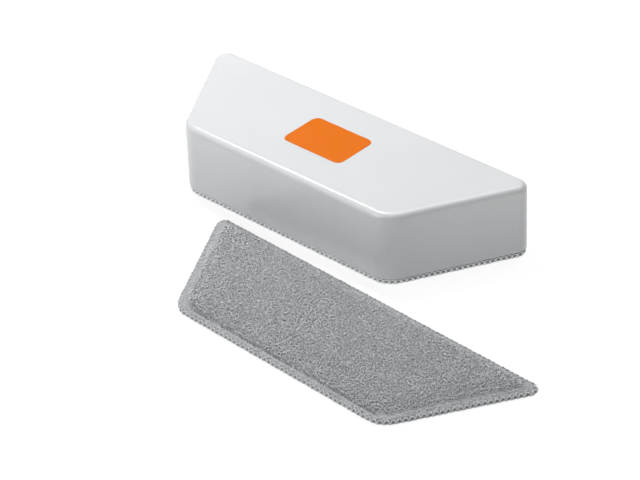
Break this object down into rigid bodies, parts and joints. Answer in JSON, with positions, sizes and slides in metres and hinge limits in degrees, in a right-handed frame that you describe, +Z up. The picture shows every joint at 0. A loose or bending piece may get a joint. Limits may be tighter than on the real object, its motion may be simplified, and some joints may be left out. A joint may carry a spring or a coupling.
{
  "type": "board eraser",
  "caption": "Magnetic board eraser: a hollow trapezoidal moulded housing on a stitched microfibre wiping pad held by hook tape, with a spare pad beside it.",
  "frame": {"origin": "centre of the fitted pad's wiping face, halfway along the long edge and halfway through the depth", "axes": "+X along the long edge, +Y towards the long edge, +Z up out of the housing's top; the wiping face looks along -Z"},
  "size_m": [0.1916, 0.1061, 0.0285],
  "materials": {
    "shell_white": "glossy moulded white plastic",
    "label_orange": "smooth printed orange film",
    "plate_grey": "fine matt moulded grey plastic",
    "ferrite": "ground dark grey ferrite",
    "hook_tape": "dark woven nylon hook tape",
    "pile_cloth": "speckled grey microfibre loop pile",
    "pad_foam": "fine-celled grey foam",
    "loop_cloth": "brushed grey loop cloth",
    "edging_cloth": "smooth rolled grey knit",
    "edge_thread": "light grey overlock thread"
  },
  "bodies": {
    "fitted_pad": {"fitted_pad_cover": "pile_cloth", "fitted_pad_core": "pad_foam", "fitted_pad_backing": "loop_cloth", "fitted_pad_edging": "edging_cloth", "fitted_pad_stitching": "edge_thread"},
    "eraser_housing": {"top_shell": "shell_white", "top_label": "label_orange", "base_plate": "plate_grey", "magnet_left": "ferrite", "magnet_right": "ferrite", "hook_strip_back": "hook_tape", "hook_strip_front": "hook_tape"},
    "spare_pad": {"spare_pad_cover": "pile_cloth", "spare_pad_core": "pad_foam", "spare_pad_backing": "loop_cloth", "spare_pad_edging": "edging_cloth", "spare_pad_stitching": "edge_thread"}
  },
  "joints": [
    {"name": "housing_lift", "type": "slide", "parent": "fitted_pad", "child": "eraser_housing", "axis": [0, 0, 1], "range_m": [0, 0.058]},
    {"name": "spare_pad_lift", "type": "slide", "parent": "fitted_pad", "child": "spare_pad", "axis": [0, 0, 1], "range_m": [0, 0.058]}
  ]
}
